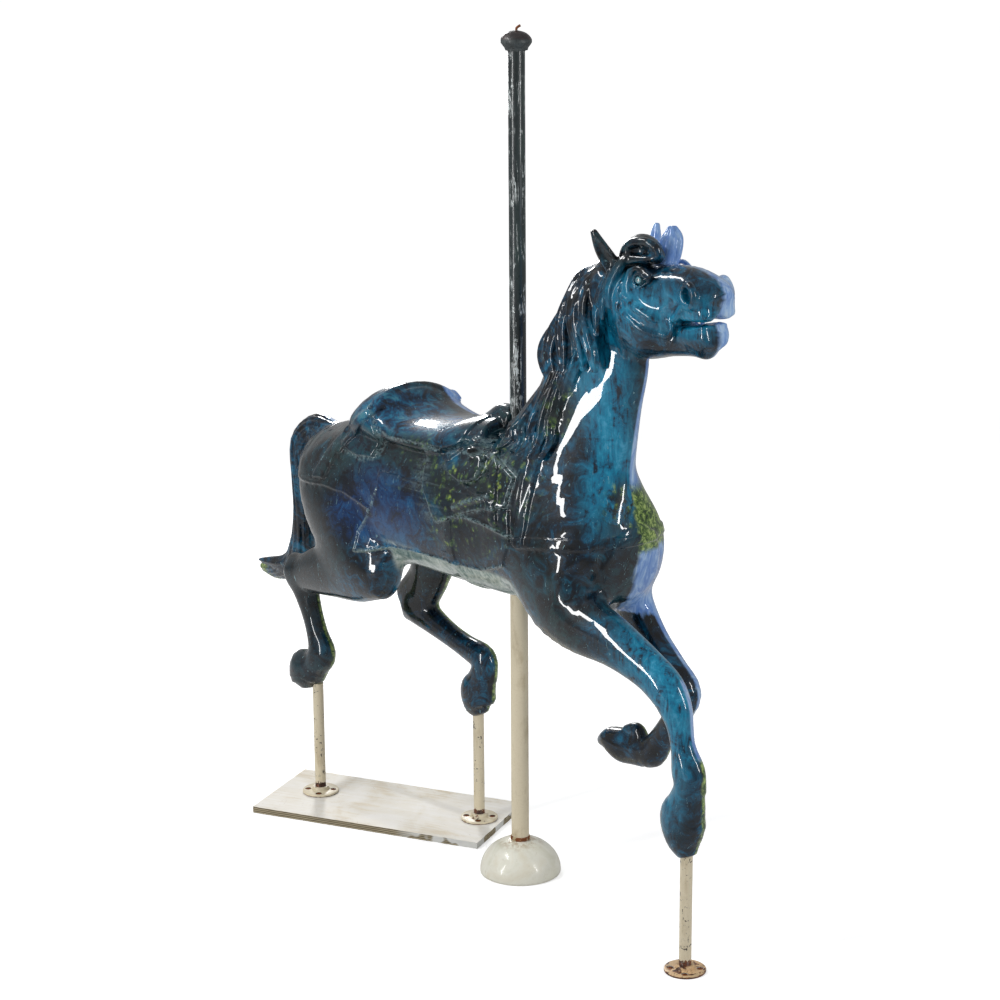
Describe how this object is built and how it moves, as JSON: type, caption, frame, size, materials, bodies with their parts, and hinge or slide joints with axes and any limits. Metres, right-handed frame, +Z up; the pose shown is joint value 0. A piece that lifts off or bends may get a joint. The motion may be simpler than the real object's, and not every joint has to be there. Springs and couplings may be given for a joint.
{
  "type": "carousel horse",
  "caption": "Galloping carousel horse with moulded saddle and bridle, held by a two-part pole in a dome foot and by pipe rods on floor flanges under its hooves.",
  "frame": {"origin": "centre of the pole's dome foot, on the floor", "axes": "+X the way the horse faces, +Y its left, +Z up along the pole"},
  "size_m": [1.74, 0.5228, 1.9487],
  "materials": {
    "horse_paint": "high gloss clear coat over mottled paint",
    "pole_charcoal": "glossy, streaked",
    "cap_charcoal": "satin, weathered",
    "pole_cream": "satin",
    "dome_cream": "satin, chipped",
    "rust_iron": "rusty",
    "board_plywood": "painted top, bare edges",
    "rod_cream": "satin, chipped",
    "flange_iron": "worn paint over rust"
  },
  "bodies": {
    "root": {"horse": "horse_paint", "upper_pole": "pole_charcoal", "lower_pole": "pole_cream", "finial": "cap_charcoal", "finial_pin": "rust_iron", "pole_collar": "rust_iron", "dome_base": "dome_cream", "plywood_board": "board_plywood", "hind_right_rod": "rod_cream", "hind_right_flange": "flange_iron", "hind_left_rod": "rod_cream", "hind_left_flange": "flange_iron", "front_right_rod": "rod_cream", "front_right_flange": "flange_iron"}
  },
  "joints": []
}
